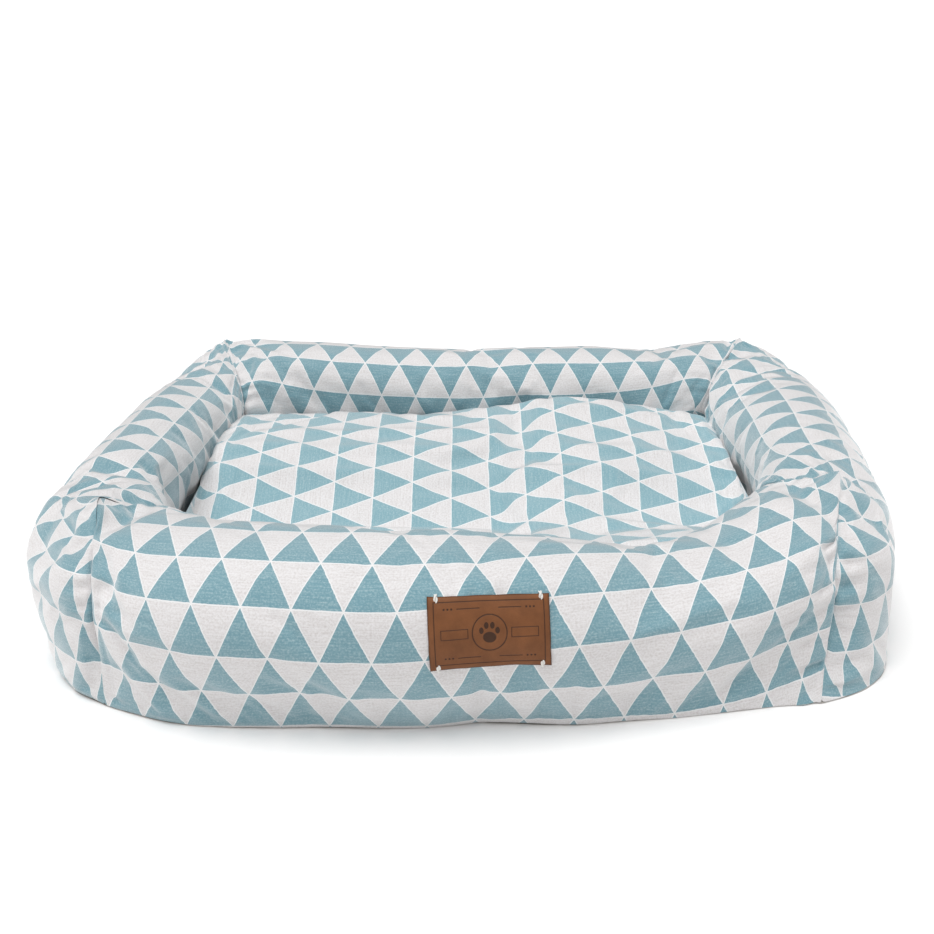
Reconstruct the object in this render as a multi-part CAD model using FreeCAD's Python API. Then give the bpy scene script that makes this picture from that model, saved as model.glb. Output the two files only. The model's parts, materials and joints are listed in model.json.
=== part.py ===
import FreeCAD
import Part
import math
import os

# Pet cushion bed: four stuffed fabric walls sewn round a padded base, with a loose zipped cushion inside.
# Millimetres, +Z up. The front, with the leather label, faces -Y.
# The origin is on the floor, under the middle of the bed.

Vector = FreeCAD.Vector
UP = Vector(0, 0, 1)

# Overall
WIDTH = 714.0
DEPTH = 604.0
WALL_TOP = 133.0
WALL_WIDTH = 118.0
FABRIC = 1.2                 # printed canvas
SKIN = 1.5                   # canvas with its turned seams, as on the walls and the base

# Plan of the wall's crest line, which bows outwards on every side
FRONT_BOW_RADIUS = 560.0
BACK_BOW_RADIUS = 3000.0
SIDE_BOW_RADIUS = 1400.0
CREST_CORNER = 66.0
SIDE_BOW_MIDDLE = 10.0       # the widest place lies a little behind the middle

# Section of a wall, measured from its crest line
FOOT_OUT = 38.0
FOOT_IN = 38.0
SHOULDER = 51.0
BELLY_HEIGHT = 0.46 * WALL_TOP
SHOULDER_HEIGHT = 0.76 * WALL_TOP

# Corner seams: each runs from the inner corner over the ear to the outer face
EAR_X = 278.0
FRONT_EAR_Y = -162.0
BACK_EAR_Y = 220.0
OUTER_SEAM_X = 290.0

# Base
PAD = 12.0
PAD_INSET = 52.0             # the pad's edge, inwards from the crest line

# Loose cushion
CUSHION_GAP = 4.0            # to the walls at the back and the sides
CUSHION_CORNER = 48.0
ZIP_EDGE_RADIUS = 20000.0
CUSHION_REST = 0.4           # over the lining
CUSHION_SEAM_Z = 38.0
SEAM_BAND = 8.0              # the edge stands upright this far above and below the seam
CUSHION_TOP = 90.0
CASE = 0.6                   # the inner case's thin cloth

# Zip, along the cushion's front seam
ZIP_LENGTH = 320.0
ZIP_ROOM = 22.0              # from the cushion's front edge to the wall, for the pull to swing
TAPE_THICKNESS = 0.8
TAPE_GAP = 1.2
COIL_WIDTH = 1.8
COIL_DEPTH = 1.4
STOP_LENGTH = 2.0
SLIDER_LENGTH = 9.0
SLIDER_WIDTH = 11.0
SLIDER_FROM_END = 8.0        # the closed slider's middle, from the end of the zip
PLAY = 0.3
PULL_THICKNESS = 1.1
PULL_LENGTH = 15.0
PULL_WIDTH = 6.4

# Leather label
LABEL_WIDTH = 85.0
LABEL_HEIGHT = 46.0          # upright; 50 along the curve of the wall
LABEL_THICKNESS = 1.8
LABEL_X = 8.0
LABEL_Z = 93.0
LABEL_TILT = 2.3             # degrees, its right end higher
STITCH_WIDTH = 2.4
STITCH_HEIGHT = 7.0
STITCH_THICKNESS = 1.0
STITCH_FROM_CORNER = 9.0

# Worked out from the above
HALF_WALL = WALL_WIDTH / 2
CREST_SIDE = WIDTH / 2 - HALF_WALL
CREST_BACK = DEPTH / 2 - HALF_WALL
CREST_FRONT = HALF_WALL + LABEL_THICKNESS + STITCH_THICKNESS - DEPTH / 2
LINING_TOP = SKIN + PAD + SKIN
CUSHION_BOTTOM = LINING_TOP + CUSHION_REST
ZIP_HALF = ZIP_LENGTH / 2
CUSHION_BACK = CREST_BACK - HALF_WALL - CUSHION_GAP
INNER_RADIUS = FRONT_BOW_RADIUS - HALF_WALL
INNER_FRONT = CREST_FRONT + HALF_WALL + INNER_RADIUS - math.sqrt(INNER_RADIUS**2 - ZIP_HALF**2)
ZIP_EDGE = -INNER_FRONT - ZIP_ROOM         # the cushion and its zip are drawn with the zip at +Y, then turned


def box(x0, x1, y0, y1, z0, z1):
    return Part.makeBox(x1 - x0, y1 - y0, z1 - z0, Vector(x0, y0, z0))


def polar(centre, radius, angle, z=0.0):
    return Vector(centre.x + radius * math.cos(angle), centre.y + radius * math.sin(angle), z)


def circles_meet(centre_a, radius_a, centre_b, radius_b, towards):
    """Where two circles meet, on the side that the plan vector towards points to."""
    line = centre_b - centre_a
    gap = line.Length
    along = (gap**2 + radius_a**2 - radius_b**2) / (2 * gap)
    aside = math.sqrt(radius_a**2 - along**2)
    unit = line / gap
    square = Vector(-unit.y, unit.x, 0)
    foot = centre_a + unit * along
    return max((foot + square * aside, foot - square * aside), key=lambda point: point.dot(towards))


def plan_arcs(front, back, side, side_middle, radii, corner):
    """Eight arcs in tangent order, anticlockwise from the front: (centre, radius, start angle, end angle)."""
    front_radius, side_radius, back_radius = radii
    sides = [
        (Vector(0, front + front_radius, 0), front_radius),
        (Vector(side - side_radius, side_middle, 0), side_radius),
        (Vector(0, back - back_radius, 0), back_radius),
        (Vector(side_radius - side, side_middle, 0), side_radius),
    ]
    corners = []
    for i, towards in enumerate((Vector(1, -1, 0), Vector(1, 1, 0), Vector(-1, 1, 0), Vector(-1, -1, 0))):
        centre_a, radius_a = sides[i]
        centre_b, radius_b = sides[(i + 1) % 4]
        corners.append(circles_meet(centre_a, radius_a - corner, centre_b, radius_b - corner, towards))
    arcs = []
    for i, (centre, radius) in enumerate(sides):
        following = sides[(i + 1) % 4][0]
        arcs.append((centre, radius, bearing(centre, corners[i - 1]), bearing(centre, corners[i])))
        arcs.append((corners[i], corner, bearing(centre, corners[i]), bearing(following, corners[i])))
    return [(centre, radius, start, start + (end - start) % (2 * math.pi)) for centre, radius, start, end in arcs]


def bearing(centre, point):
    return math.atan2(point.y - centre.y, point.x - centre.x)


def plan_face(arcs, grow, z):
    """The plan outline, moved outwards by grow, as a face at height z."""
    edges = []
    for centre, radius, start, end in arcs:
        places = [polar(centre, radius + grow, angle, z) for angle in (start, (start + end) / 2, end)]
        edges.append(Part.Arc(*places).toShape())
    return Part.Face(Part.Wire(edges))


def slab(arcs, grow, z0, z1):
    return plan_face(arcs, grow, z0).extrude(Vector(0, 0, z1 - z0))


def wall_ring(arcs, inset):
    """The stuffed ring, its surface moved inwards by inset. The foot stays level with the base cover's top."""
    ring = []
    for centre, radius, start, end in arcs:
        def at(across, z):
            return polar(centre, radius + across, start, z)

        foot_out = at(FOOT_OUT - inset, SKIN)
        shoulder_out = at(SHOULDER - inset, SHOULDER_HEIGHT)
        shoulder_in = at(inset - SHOULDER, SHOULDER_HEIGHT)
        foot_in = at(inset - FOOT_IN, SKIN)
        section = Part.Wire([
            Part.Arc(foot_out, at(HALF_WALL - inset, BELLY_HEIGHT), shoulder_out).toShape(),
            Part.Arc(shoulder_out, at(0, WALL_TOP - inset), shoulder_in).toShape(),
            Part.Arc(shoulder_in, at(inset - HALF_WALL, BELLY_HEIGHT), foot_in).toShape(),
            Part.LineSegment(foot_in, foot_out).toShape(),
        ])
        ring.append(Part.Face(section).revolve(centre, UP, math.degrees(end - start)))
    return ring[0].fuse(ring[1:]).removeSplitter()


def end_wall_space(inner, ear, outer):
    """The space of the front or back wall: what lies between its two corner seams, as a tall prism."""
    half = [inner, ear, outer]
    points = [Vector(-x, y, 0) for x, y in half] + [Vector(x, y, 0) for x, y in reversed(half)]
    return Part.Face(Part.makePolygon(points + points[:1])).extrude(Vector(0, 0, 2 * WALL_TOP))


def split_walls(ring, arcs):
    """The ring cut at the corner seams: front, back, left and right walls."""
    far = DEPTH
    front_corner = arcs[1][0]
    back_corner = arcs[3][0]
    front_space = end_wall_space(
        (front_corner.x, front_corner.y), (EAR_X, FRONT_EAR_Y), (OUTER_SEAM_X, -far))
    back_space = end_wall_space(
        (back_corner.x, back_corner.y), (EAR_X, BACK_EAR_Y), (OUTER_SEAM_X, far))
    sides = ring.cut([front_space, back_space])
    left_half = box(-WIDTH, 0, -far, far, 0, 2 * WALL_TOP)
    return {
        "front": ring.common(front_space),
        "back": ring.common(back_space),
        "left": sides.common(left_half),
        "right": sides.cut(left_half),
    }


def turned(shape):
    """Half a turn about the vertical, so that the zip faces the front wall."""
    shape.rotate(Vector(0, 0, 0), UP, 180)
    return shape


def lens(inset):
    """The cushion's pillow shape, its surface moved inwards by inset."""
    side = CREST_SIDE - HALF_WALL - CUSHION_GAP
    height = CUSHION_TOP - CUSHION_SEAM_Z - SEAM_BAND
    levels = [
        (CUSHION_BOTTOM + inset, 48.0),
        (CUSHION_BOTTOM + 9.0, 16.0),
        (CUSHION_SEAM_Z - SEAM_BAND, 0.0),
        (CUSHION_SEAM_Z + SEAM_BAND, 0.0),
        (CUSHION_SEAM_Z + SEAM_BAND + 0.45 * height, 14.0),
        (CUSHION_SEAM_Z + SEAM_BAND + 0.75 * height, 42.0),
        (CUSHION_SEAM_Z + SEAM_BAND + 0.93 * height - inset, 76.0),
        (CUSHION_TOP - inset, 104.0),
    ]
    outlines = []
    for z, tuck in levels:
        inwards = tuck + inset
        within = HALF_WALL + CUSHION_GAP + inwards
        radii = (BACK_BOW_RADIUS - within, SIDE_BOW_RADIUS - within, ZIP_EDGE_RADIUS - inwards)
        arcs = plan_arcs(
            inwards - CUSHION_BACK, ZIP_EDGE - inwards, side - inwards, -SIDE_BOW_MIDDLE, radii, CUSHION_CORNER)
        outlines.append(plan_face(arcs, 0, z).OuterWire)
    return Part.makeLoft(outlines, True, True)


def cushion_parts():
    skin_out = lens(0)
    skin_in = lens(FABRIC)
    case_in = lens(FABRIC + CASE)
    groove = box(
        -ZIP_HALF - 4, ZIP_HALF + 4, ZIP_EDGE - 3, ZIP_EDGE + 3, CUSHION_SEAM_Z - 6, CUSHION_SEAM_Z + 6)
    above = box(-WIDTH, WIDTH, -DEPTH, DEPTH, CUSHION_SEAM_Z, 2 * WALL_TOP)
    skin = skin_out.cut(skin_in).cut(groove)
    return {
        "cushion_top_panel": skin.common(above),
        "cushion_bottom_panel": skin.cut(above),
        "cushion_inner_case": skin_in.cut(case_in).cut(groove),
        "cushion_fibre_fill": case_in.cut(groove),
    }


def zip_parts():
    """Tapes on the cushion's front edge, coils on the tapes, and a crimp at each end."""
    y = ZIP_EDGE
    middle = CUSHION_SEAM_Z
    front = y + TAPE_THICKNESS
    reach = SEAM_BAND
    half_gap = TAPE_GAP / 2
    coil = half_gap + COIL_WIDTH
    stops = []
    for end in (-1, 1):
        near = end * (ZIP_HALF - STOP_LENGTH)
        x0, x1 = sorted((near, end * ZIP_HALF))
        stops.append(box(x0, x1, front + COIL_DEPTH, front + COIL_DEPTH + 0.6, middle - coil, middle + coil))
    return {
        "zip_tape_upper": box(-ZIP_HALF, ZIP_HALF, y, front, middle + half_gap, middle + reach),
        "zip_tape_lower": box(-ZIP_HALF, ZIP_HALF, y, front, middle - reach, middle - half_gap),
        "zip_coil_upper": box(-ZIP_HALF, ZIP_HALF, front, front + COIL_DEPTH, middle + half_gap, middle + coil),
        "zip_coil_lower": box(-ZIP_HALF, ZIP_HALF, front, front + COIL_DEPTH, middle - coil, middle - half_gap),
        "zip_end_stops": Part.makeCompound(stops),
    }


SLIDER_X = ZIP_HALF - SLIDER_FROM_END
PLATE_Y = ZIP_EDGE + TAPE_THICKNESS + COIL_DEPTH + PLAY
PLATE_THICKNESS = 1.5
PIVOT_Y = PLATE_Y + PLATE_THICKNESS + 1.0
BRIDGE_HALF = 2.6


def zip_slider():
    """Two plates round the tapes, joined by a divider that runs in the gap, with a bridge for the pull."""
    x = SLIDER_X
    z = CUSHION_SEAM_Z
    half = SLIDER_LENGTH / 2
    half_width = SLIDER_WIDTH / 2
    outside = PLATE_Y + PLATE_THICKNESS
    bridge_top = PIVOT_Y + 1.8
    plate = box(x - half, x + half, PLATE_Y, outside, z - half_width, z + half_width)
    upper_lip = box(x - half, x + half, PLATE_Y - 1.2, PLATE_Y, z + half_width - 0.8, z + half_width)
    lower_lip = box(x - half, x + half, PLATE_Y - 1.2, PLATE_Y, z - half_width, z - half_width + 0.8)
    divider = box(x + half - 3, x + half, ZIP_EDGE - 1, PLATE_Y, z - 0.25, z + 0.25)
    back_plate = box(x - half, x + half, ZIP_EDGE - 2.2, ZIP_EDGE - 0.5, z - 4.5, z + 4.5)
    posts = [
        box(x - BRIDGE_HALF, x - BRIDGE_HALF + 0.8, outside, bridge_top, z - 1.5, z + 1.5),
        box(x + BRIDGE_HALF - 0.8, x + BRIDGE_HALF, outside, bridge_top, z - 1.5, z + 1.5),
        box(x - BRIDGE_HALF, x + BRIDGE_HALF, bridge_top - 0.8, bridge_top, z - 1.5, z + 1.5),
    ]
    return plate.fuse([upper_lip, lower_lip, divider, back_plate] + posts).removeSplitter()


def zip_pull():
    """A flat tab on a pin under the slider's bridge. Closed, it lies along the zip."""
    x = SLIDER_X
    z = CUSHION_SEAM_Z
    y0 = PIVOT_Y - PULL_THICKNESS / 2
    y1 = PIVOT_Y + PULL_THICKNESS / 2
    arm_in = 1.9
    arm_out = 2.9
    tab_start = 4.0
    pin = Part.makeCylinder(PULL_THICKNESS / 2, 2 * arm_out, Vector(x, PIVOT_Y, z - arm_out), UP)
    upper_arm = box(x - tab_start - 1, x, y0, y1, z + arm_in, z + arm_out)
    lower_arm = box(x - tab_start - 1, x, y0, y1, z - arm_out, z - arm_in)
    tab = box(x - PULL_LENGTH, x - tab_start, y0, y1, z - PULL_WIDTH / 2, z + PULL_WIDTH / 2)
    return pin.fuse([upper_arm, lower_arm, tab]).removeSplitter()


def label_parts(arcs, wall):
    """The leather patch, lying on the front wall, and its four stitches over the top and bottom edges."""
    patch_layer = wall_ring(arcs, -LABEL_THICKNESS).cut(wall)
    stitch_layer = wall_ring(arcs, -LABEL_THICKNESS - STITCH_THICKNESS).cut(wall)

    def window(x, z, width, height):
        shape = box(x - width / 2, x + width / 2, -DEPTH, CREST_FRONT, z - height / 2, z + height / 2)
        shape.rotate(Vector(0, 0, 0), Vector(0, -1, 0), LABEL_TILT)
        shape.translate(Vector(LABEL_X, 0, LABEL_Z))
        return shape

    patch = patch_layer.common(window(0, 0, LABEL_WIDTH, LABEL_HEIGHT))
    stitches = []
    for across in (-1, 1):
        for up in (-1, 1):
            x = across * (LABEL_WIDTH / 2 - STITCH_FROM_CORNER)
            z = up * LABEL_HEIGHT / 2
            stitch = stitch_layer.common(window(x, z, STITCH_WIDTH, STITCH_HEIGHT)).cut(patch)
            stitches.append(stitch)
    return {"leather_label": patch, "label_stitches": Part.makeCompound(stitches)}


def build():
    radii = (FRONT_BOW_RADIUS, SIDE_BOW_RADIUS, BACK_BOW_RADIUS)
    arcs = plan_arcs(CREST_FRONT, CREST_BACK, CREST_SIDE, SIDE_BOW_MIDDLE, radii, CREST_CORNER)
    outer = wall_ring(arcs, 0)
    inner = wall_ring(arcs, SKIN)
    parts = {}
    for side, shape in split_walls(outer.cut(inner), arcs).items():
        parts[side + "_wall_cover"] = shape
    for side, shape in split_walls(inner, arcs).items():
        parts[side + "_wall_fill"] = shape
    parts["base_bottom_cover"] = slab(arcs, FOOT_OUT, 0, SKIN)
    parts["base_pad"] = slab(arcs, -PAD_INSET, SKIN, SKIN + PAD)
    parts["base_top_lining"] = slab(arcs, -PAD_INSET, SKIN + PAD, LINING_TOP)
    parts.update(label_parts(arcs, outer))
    loose = cushion_parts()
    loose.update(zip_parts())
    loose["zip_slider"] = zip_slider()
    loose["zip_pull"] = zip_pull()
    for name, shape in loose.items():
        parts[name] = turned(shape)
    return parts


os.makedirs("parts", exist_ok=True)
for name, shape in build().items():
    print(name, len(shape.Solids), shape.isValid(), round(shape.Volume))
    shape.exportStep("parts/" + name + ".step")
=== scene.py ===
import json
import math

import bpy
import numpy as np
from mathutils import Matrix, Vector, noise

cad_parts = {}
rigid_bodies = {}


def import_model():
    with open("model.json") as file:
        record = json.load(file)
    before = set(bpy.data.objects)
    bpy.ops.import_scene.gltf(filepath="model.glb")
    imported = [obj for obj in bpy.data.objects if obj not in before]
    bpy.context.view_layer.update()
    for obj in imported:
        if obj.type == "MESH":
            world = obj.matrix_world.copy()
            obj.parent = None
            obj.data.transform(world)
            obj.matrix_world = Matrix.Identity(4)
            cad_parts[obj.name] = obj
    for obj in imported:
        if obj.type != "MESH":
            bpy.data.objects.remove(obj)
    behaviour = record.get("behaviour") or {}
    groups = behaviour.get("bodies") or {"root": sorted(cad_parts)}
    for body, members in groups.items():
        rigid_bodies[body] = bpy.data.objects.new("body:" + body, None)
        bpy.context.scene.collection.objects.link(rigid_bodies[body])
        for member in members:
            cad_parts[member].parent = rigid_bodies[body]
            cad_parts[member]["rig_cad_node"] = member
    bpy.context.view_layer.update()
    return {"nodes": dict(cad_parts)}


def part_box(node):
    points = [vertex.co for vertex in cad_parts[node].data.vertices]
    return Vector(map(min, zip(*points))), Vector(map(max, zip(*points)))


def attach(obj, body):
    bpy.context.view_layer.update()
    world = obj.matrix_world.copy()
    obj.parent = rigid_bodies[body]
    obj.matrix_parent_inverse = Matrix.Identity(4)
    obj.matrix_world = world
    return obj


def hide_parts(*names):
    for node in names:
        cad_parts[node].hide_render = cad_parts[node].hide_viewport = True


# Pet cushion bed: four stuffed walls in printed canvas, a padded base, a loose zipped cushion,
# and a leather patch. Metres throughout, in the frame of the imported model.

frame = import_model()

MM = 0.001

# Print: a grid of triangles
TRIANGLE = 36.0 * MM            # width of a triangle along its row
ROW = 36.4 * MM                 # height of a row
PRINT_LINE = 0.46 * MM          # half the width of the light line between triangles
PRINT_SIDE_CENTRE = 20 * MM     # the side walls' print is counted from here, along the depth
# Where the print falls on each wall: shift along the wall and up the cloth
PRINT_SHIFT = {
    "front": (1.8 * MM, 0.0),
    "right": (11 * MM, 8 * MM),
    "back": (10 * MM, -10.5 * MM),
    "left": (20 * MM, 4 * MM),
}
# The front strip is sewn in low at its left end and high at its right:
# (places along the wall, drop)
PRINT_DROOP = (
    (-0.26, -0.06, 0.0, 0.06, 0.12, 0.18),
    (0.0025, 0.0025, -0.001, -0.007, -0.012, -0.014),
)
# and its print is eased sideways towards the right seam: (places along the wall, shift)
PRINT_EASE = (
    (0.05, 0.12, 0.16, 0.20, 0.235, 0.28),
    (0.0, -0.004, -0.008, -0.011, -0.011, -0.006),
)
# Extra cloth gathered into the seams at the start and the end of each wall
GATHERS = {
    "front": (4 * MM, 12 * MM),
    "right": (22 * MM, 10 * MM),
    "back": (10 * MM, 10 * MM),
    "left": (10 * MM, 20 * MM),
}
GATHER_REACH = 28 * MM

# Walls
WALL_TOP = 132.5 * MM
GRID = 4.0 * MM                 # spacing of the cloth's grid

# Section of a wall: share of the way from the crest line to the outer belly, or minus to the inner one,
# and height in mm, from the outer foot over the top to the inner foot
SECTION = [
    (0.50, 1.0), (0.61, 8.0), (0.76, 22.0), (0.87, 40.0), (0.96, 58.0), (1.00, 76.0), (0.965, 94.0),
    (0.84, 111.0), (0.60, 122.5), (0.31, 129.5), (0.0, 132.5), (-0.30, 131.5), (-0.60, 124.0),
    (-0.84, 109.0), (-0.97, 90.0), (-1.0, 72.0), (-0.95, 50.0), (-0.84, 32.0), (-0.70, 20.0),
    (-0.60, 16.0),
]
SECTION_HALF = 60.0             # mm, half the width that cloth lengths are measured on
SECTION_POINTS = 600
PLAN_POINTS = 400
HALF_WALL = 62 * MM
BELLY = 70 * MM
WALL_MIDDLE = 66 * MM           # outward directions start from the crest line's plan, at this height
LEVEL_REACH = 60 * MM           # from here up a wall is as much taller or lower as its crest
FIRST_ROW = 1                   # the print's first row line is at this point of the section

# Plan of each wall in mm, anticlockwise from one corner seam to the next: outer belly, crest with its
# height, inner belly
WALL_PLANS = {
    "front": {
        "outer": [
            (-284, -257), (-243, -278), (-198, -291), (-145, -299), (-78, -304), (-8, -301),
            (62, -292), (129, -275), (192, -256), (237, -239), (270, -226),
        ],
        "crest": [
            (-296, -167, 131), (-252, -190, 131), (-190, -216, 133), (-128, -232, 135),
            (-68, -240, 134), (-8, -240, 131), (55, -232, 125), (129, -210, 112), (192, -188, 113),
            (247, -160, 126), (299, -119, 133),
        ],
        "inner": [
            (-243, -118), (-220, -134), (-180, -156), (-125, -172), (-66, -180), (-8, -180),
            (52, -173), (120, -154), (170, -132), (208, -105), (232, -72),
        ],
    },
    "right": {
        "outer": [
            (270, -226), (303, -213), (327, -190), (340, -155), (353, -105), (367, -30), (375, 33),
            (378, 110), (373, 190), (350, 256), (302, 288),
        ],
        "crest": [
            (299, -119, 133), (302, -110, 132), (303, -98, 131), (302, -80, 131), (302, -55, 132),
            (308, 0, 133), (313, 50, 133), (317, 115, 132), (316, 180, 131), (309, 225, 133),
            (300, 252, 136),
        ],
        "inner": [
            (232, -72), (237, -66), (243, -58), (249, -45), (255, -25), (258, 10), (257, 50),
            (252, 100), (247, 135), (246, 150), (245, 160),
        ],
    },
    "back": {
        "outer": [
            (302, 288), (260, 294), (200, 294), (130, 294), (60, 294), (-5, 293), (-70, 292),
            (-130, 291), (-190, 291), (-245, 291), (-285, 288),
        ],
        "crest": [
            (300, 252, 136), (264, 244, 137), (200, 236, 132), (130, 231, 129), (60, 229, 128),
            (-5, 228, 126), (-70, 228, 128), (-130, 229, 131), (-190, 232, 135), (-246, 240, 138),
            (-281, 246, 136),
        ],
        "inner": [
            (245, 160), (225, 164), (180, 168), (120, 171), (60, 172), (-5, 172), (-70, 172),
            (-130, 171), (-180, 168), (-222, 160), (-243, 152),
        ],
    },
    "left": {
        "outer": [
            (-285, 288), (-317, 270), (-337, 215), (-346, 150), (-354, 73), (-361, -15),
            (-365, -102), (-357, -165), (-338, -210), (-312, -241), (-284, -257),
        ],
        "crest": [
            (-281, 246, 136), (-285, 226, 132), (-290, 200, 130), (-296, 150, 130), (-303, 73, 131),
            (-311, -15, 132), (-323, -90, 133), (-330, -122, 134), (-328, -142, 134),
            (-317, -158, 133), (-296, -167, 132),
        ],
        "inner": [
            (-243, 152), (-246, 146), (-249, 133), (-253, 115), (-259, 60), (-265, -10),
            (-266, -72), (-261, -92), (-256, -105), (-250, -112), (-243, -118),
        ],
    },
}
SIDES = ("front", "right", "back", "left")

# How far the outer foot tucks in along each wall, or bulges out where it is minus:
# (shares of the wall's length, shares of the section's tuck)
FOOT_TUCKS = {
    "front": ((0, 0.15, 0.3, 0.5, 0.62, 0.78, 0.9, 1), (0.15, 0.35, 0.7, 0.85, 0.4, 0.0, -0.35, -0.8)),
    "right": ((0, 0.08, 0.18, 0.3, 0.6, 1), (-0.8, -0.45, 0.15, 0.45, 0.7, 0.7)),
    "back": ((0, 0.5, 1), (0.7, 0.9, 0.7)),
    "left": ((0, 0.5, 0.8, 0.92, 1), (0.7, 0.6, 0.4, 0.25, 0.15)),
}

INNER_TUCK = 0.9                # the same for the inner foot, all along

SEAM_REACH = 42 * MM            # how far from a corner seam the wall dips towards it
SEAM_DEPTH = 9 * MM
EAR_RISE = 4 * MM               # instead of dipping, the seam's top rises this much
EAR_TIP = 7 * MM
EAR_TIP_WIDTH = 9 * MM
PUCKER_DEPTH = 12 * MM
PUCKER_PITCH = 15 * MM          # from one fold to the next, up the seam
PUCKER_REACH = 24 * MM
SEAM_FOLDS = (0.6, 1.0, 0.8, 0.8)   # how strongly each corner seam is gathered, from the front left one
FOLD_DRIFT = 28 * MM            # how soon the folds wander, up the seam and away from it
FOLD_FADE = 70 * MM
FOLD_MIX = 40 * MM              # how soon they change in depth
WALL_LUMP = 2.2 * MM            # the stuffing's lumps: height and sizes
WALL_LUMP_SIZE = 0.07
WALL_LUMP_TALL = 0.06

# Cloth simulation of the walls
CLOTH_STEPS = 14
CLOTH_GROW = 0.028
WALL_PRESSURE = 2.2
WALL_HOLD = 0.07
WALL_CAP = 9 * MM
SWELL = 3 * MM                  # the shape starts this much smaller than the stuffed wall


# ---------------------------------------------------------------- curves

def spline(points, count):
    """Smooth curve through points, sampled densely and evenly in its own parameter."""
    points = np.array(points, float)
    n = len(points)
    t = np.linspace(0, n - 1, count)
    i = np.clip(t.astype(int), 0, n - 2)
    f = (t - i)[:, None]
    p0 = points[np.clip(i - 1, 0, n - 1)]
    p1 = points[i]
    p2 = points[i + 1]
    p3 = points[np.clip(i + 2, 0, n - 1)]
    m1 = (p2 - p0) / 2
    m2 = (p3 - p1) / 2
    a = 2 * f**3 - 3 * f**2 + 1
    b = f**3 - 2 * f**2 + f
    c = -2 * f**3 + 3 * f**2
    d = f**3 - f**2
    return a * p1 + b * m1 + c * p2 + d * m2


def lengths(points):
    """Distance along a polyline at each of its points."""
    steps = np.linalg.norm(np.diff(points, axis=0), axis=1)
    return np.concatenate([[0.0], np.cumsum(steps)])


def resample(values, along, count):
    """values, known at positions along, at count even positions."""
    even = np.linspace(0, along[-1], count)
    return np.stack([np.interp(even, along, values[:, k]) for k in range(values.shape[1])], axis=1)


def pattern_noise(x, y, z):
    """Smooth fixed noise, about -0.5 to 0.5."""
    return noise.noise(Vector((x, y, z)))


# ---------------------------------------------------------------- walls

def wall_section():
    """Section points evenly spaced along the cloth, with the cloth coordinate of each."""
    knots = np.array(SECTION)
    dense = spline(knots, SECTION_POINTS)
    along = lengths(dense * (SECTION_HALF, 1.0))
    row_start = np.interp(FIRST_ROW, np.linspace(0, len(knots) - 1, SECTION_POINTS), along)
    count = int(round(along[-1] * MM / GRID)) + 1
    section = resample(dense, along, count)
    cloth = (np.linspace(0, along[-1], count) - row_start) * MM
    return section[:, 0], section[:, 1] * MM, cloth


def wall_stations(side):
    """Outer, crest and inner points of one wall at even steps along it."""
    plan = WALL_PLANS[side]
    outer = spline(plan["outer"], PLAN_POINTS) * MM
    crest = spline(plan["crest"], PLAN_POINTS) * MM
    inner = spline(plan["inner"], PLAN_POINTS) * MM
    together = np.concatenate([outer, crest, inner], axis=1)
    along = (lengths(outer) + lengths(crest[:, :2])) / 2
    count = int(round(along[-1] / GRID)) + 1
    even = resample(together, along, count)
    return even[:, 0:2], even[:, 2:5], even[:, 5:7]


def seam_fall(distance):
    """1 at the seam, 0 from SEAM_REACH on, steep at the seam like the end of a stuffed tube."""
    rest = np.clip(1 - distance / SEAM_REACH, 0, 1)
    return 1 - np.sqrt(1 - rest**2)


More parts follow.
